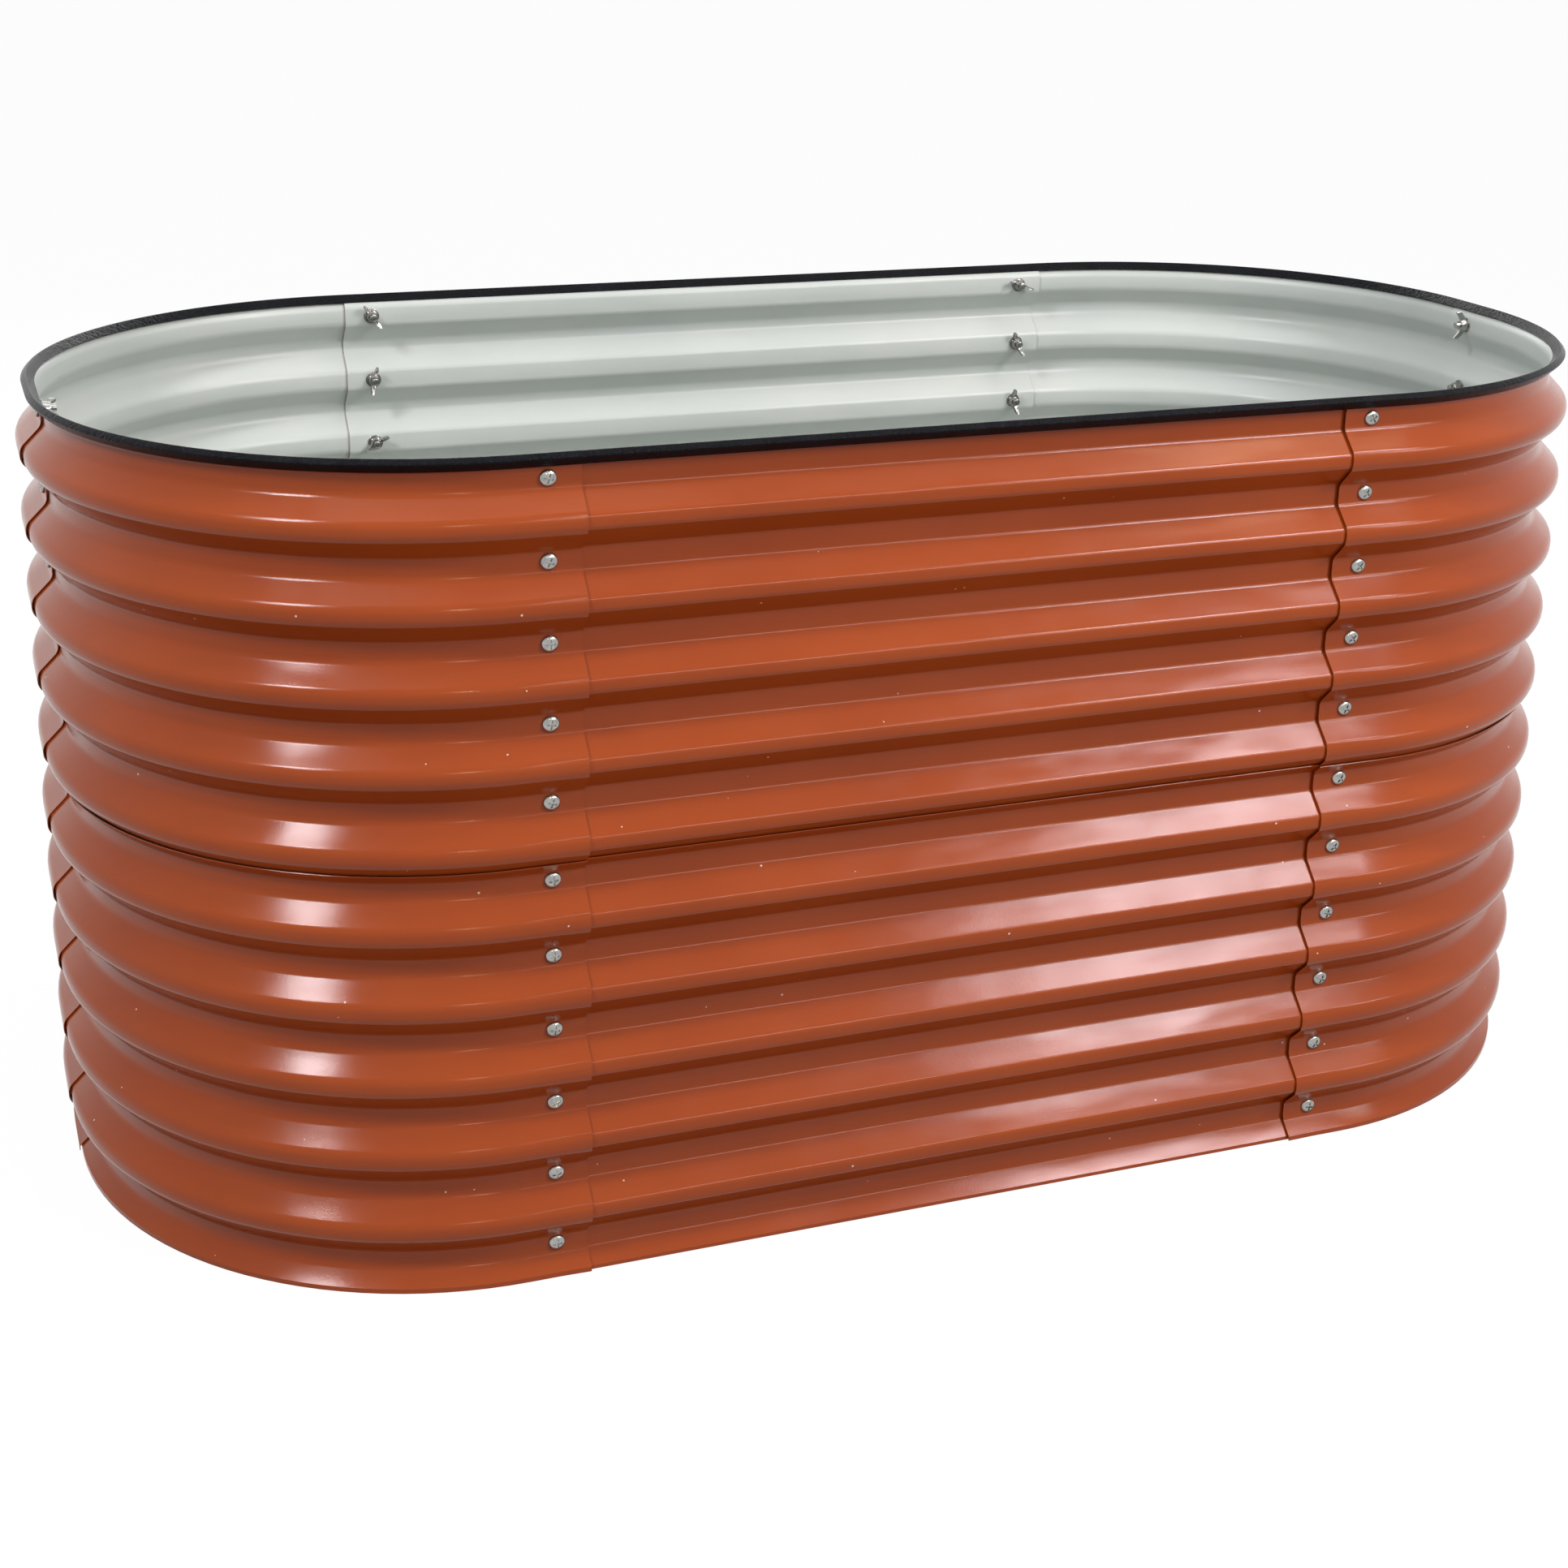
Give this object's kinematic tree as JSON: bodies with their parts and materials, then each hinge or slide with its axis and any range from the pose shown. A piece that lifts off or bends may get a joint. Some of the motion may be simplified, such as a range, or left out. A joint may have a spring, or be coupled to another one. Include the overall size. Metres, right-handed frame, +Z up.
{
  "type": "raised garden bed",
  "caption": "Oval two-tier raised garden bed of lapped and bolted corrugated steel panels, open at top and bottom, with a rubber edge trim.",
  "frame": {"origin": "middle of the footprint, on the ground", "axes": "+X along the length, towards the right-hand end seen from the front; +Z up; the front side faces -Y"},
  "size_m": [1.22, 0.61, 0.5888],
  "materials": {
    "painted_steel": "semi-gloss terracotta coating outside, pale sage cream coating inside",
    "rubber": "black, slightly glossy",
    "nickel": "bright nickel plating"
  },
  "bodies": {
    "root": {"lower_front_panel": "painted_steel", "lower_front_left_corner": "painted_steel", "lower_front_right_corner": "painted_steel", "lower_back_panel": "painted_steel", "lower_back_left_corner": "painted_steel", "lower_back_right_corner": "painted_steel", "upper_front_panel": "painted_steel", "upper_front_left_corner": "painted_steel", "upper_front_right_corner": "painted_steel", "upper_back_panel": "painted_steel", "upper_back_left_corner": "painted_steel", "upper_back_right_corner": "painted_steel", "edge_trim": "rubber", "front_left_bolt_01": "nickel", "front_left_bolt_02": "nickel", "front_left_bolt_03": "nickel", "front_left_bolt_04": "nickel", "front_left_bolt_05": "nickel", "front_left_bolt_06": "nickel", "front_left_bolt_07": "nickel", "front_left_bolt_08": "nickel", "front_left_bolt_09": "nickel", "front_left_bolt_10": "nickel", "front_left_bolt_11": "nickel", "front_right_bolt_01": "nickel", "front_right_bolt_02": "nickel", "front_right_bolt_03": "nickel", "front_right_bolt_04": "nickel", "front_right_bolt_05": "nickel", "front_right_bolt_06": "nickel", "front_right_bolt_07": "nickel", "front_right_bolt_08": "nickel", "front_right_bolt_09": "nickel", "front_right_bolt_10": "nickel", "front_right_bolt_11": "nickel", "back_left_bolt_01": "nickel", "back_left_bolt_02": "nickel", "back_left_bolt_03": "nickel", "back_left_bolt_04": "nickel", "back_left_bolt_05": "nickel", "back_left_bolt_06": "nickel", "back_left_bolt_07": "nickel", "back_left_bolt_08": "nickel", "back_left_bolt_09": "nickel", "back_left_bolt_10": "nickel", "back_left_bolt_11": "nickel", "back_right_bolt_01": "nickel", "back_right_bolt_02": "nickel", "back_right_bolt_03": "nickel", "back_right_bolt_04": "nickel", "back_right_bolt_05": "nickel", "back_right_bolt_06": "nickel", "back_right_bolt_07": "nickel", "back_right_bolt_08": "nickel", "back_right_bolt_09": "nickel", "back_right_bolt_10": "nickel", "back_right_bolt_11": "nickel"}
  },
  "joints": []
}
